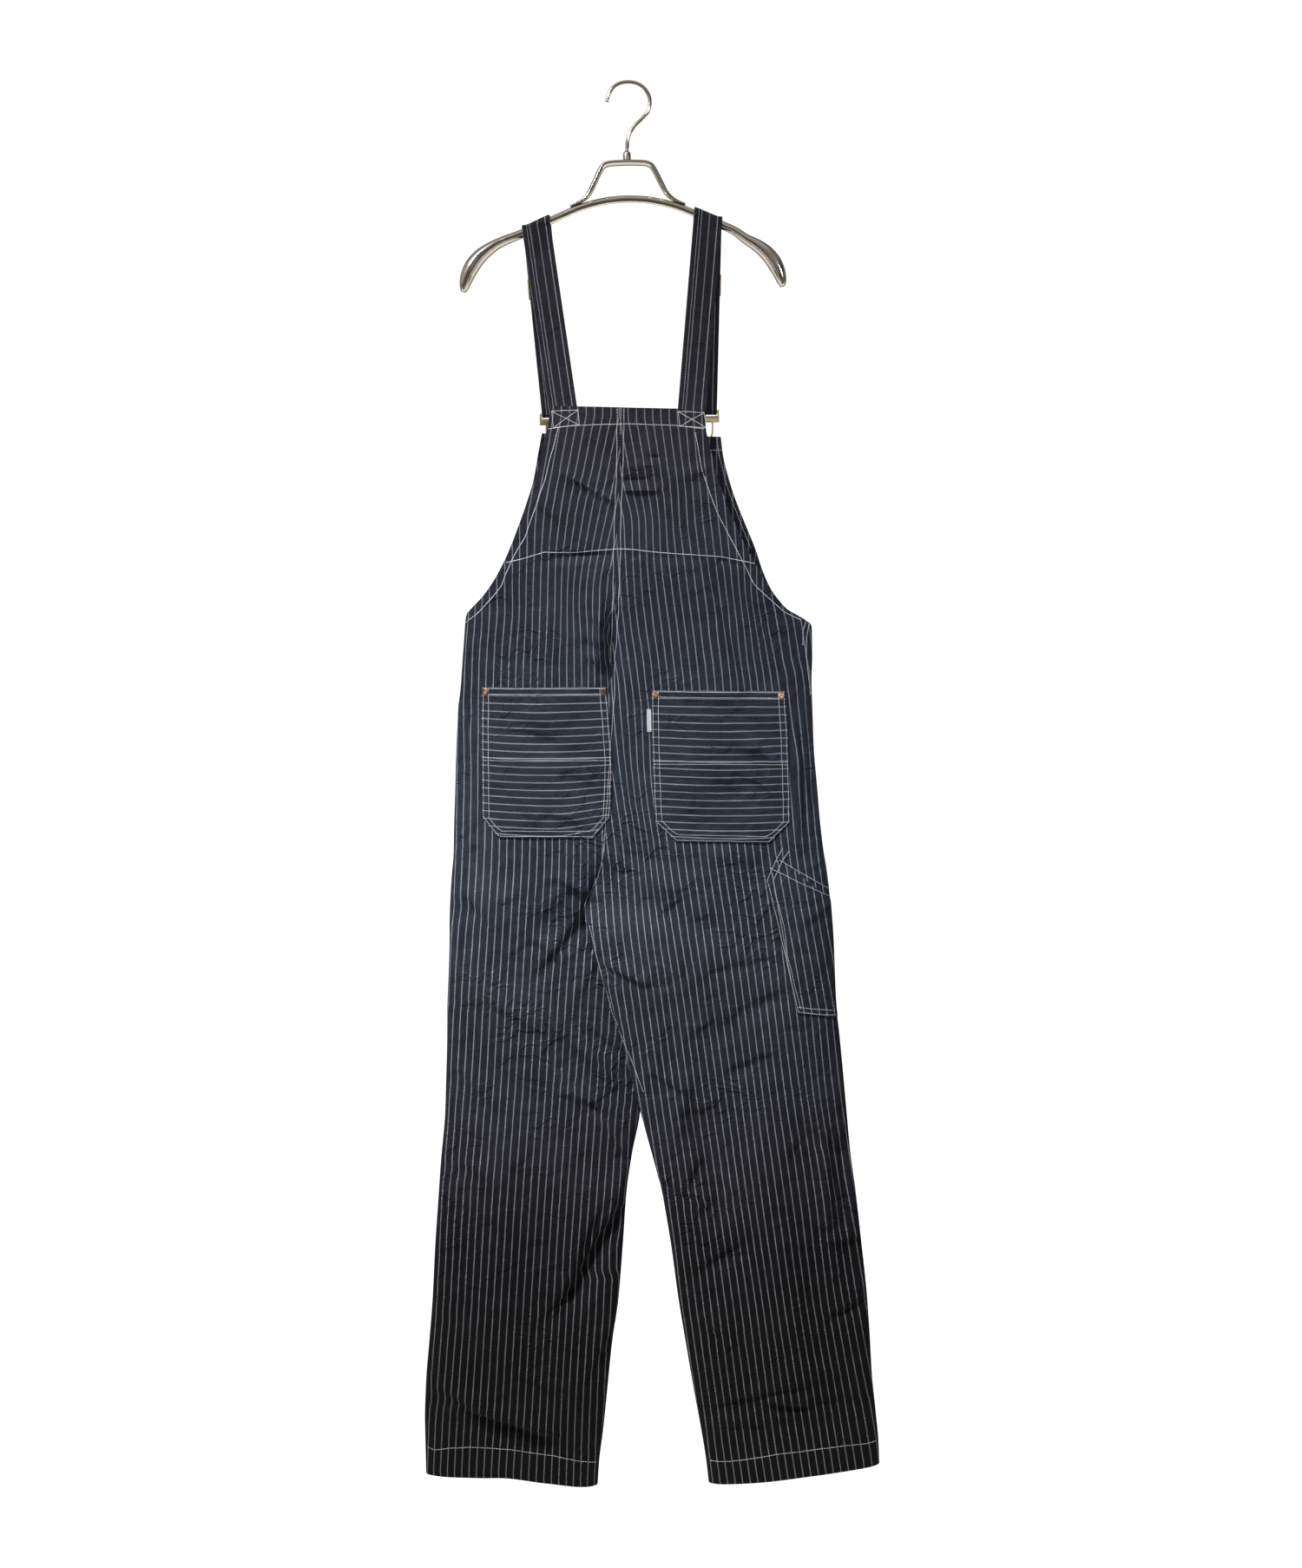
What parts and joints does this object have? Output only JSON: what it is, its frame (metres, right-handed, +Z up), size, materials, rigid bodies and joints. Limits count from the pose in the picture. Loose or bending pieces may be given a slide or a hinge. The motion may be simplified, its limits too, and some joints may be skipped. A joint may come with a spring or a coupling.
{
  "type": "dungarees on a hanger",
  "caption": "Striped denim dungarees with patch pockets, hung by their shoulder straps over a metal coat hanger with a hook.",
  "frame": {"origin": "inner top of the hanger's hook, where the rail carries it", "axes": "+Z up along the hanging garment, -Y out of the garment's back, +X to the wearer's right"},
  "size_m": [0.628, 0.0498, 1.8552],
  "materials": {
    "denim": "matt charcoal twill with fine pale stripes",
    "gilt_metal": "satin pale gold plate",
    "copper": "satin copper",
    "nickel": "polished warm nickel plate"
  },
  "bodies": {
    "root": {"front_bib": "denim", "back_left": "denim", "back_right": "denim", "front_left": "denim", "front_right": "denim", "pocket_left": "denim", "pocket_right": "denim", "tool_pocket": "denim", "pocket_tab": "denim", "strap_left": "denim", "strap_right": "denim", "slider_left": "gilt_metal", "slider_right": "gilt_metal", "buckle_left": "gilt_metal", "buckle_right": "gilt_metal", "bib_button_left": "gilt_metal", "bib_button_right": "gilt_metal", "side_button_left_1": "gilt_metal", "side_button_left_2": "gilt_metal", "side_button_right_1": "gilt_metal", "side_button_right_2": "gilt_metal", "rivet_left_1": "copper", "rivet_left_2": "copper", "rivet_right_1": "copper", "rivet_right_2": "copper", "hanger_bar": "nickel", "hanger_bridge": "nickel", "hook": "nickel", "ferrule": "nickel"}
  },
  "joints": []
}
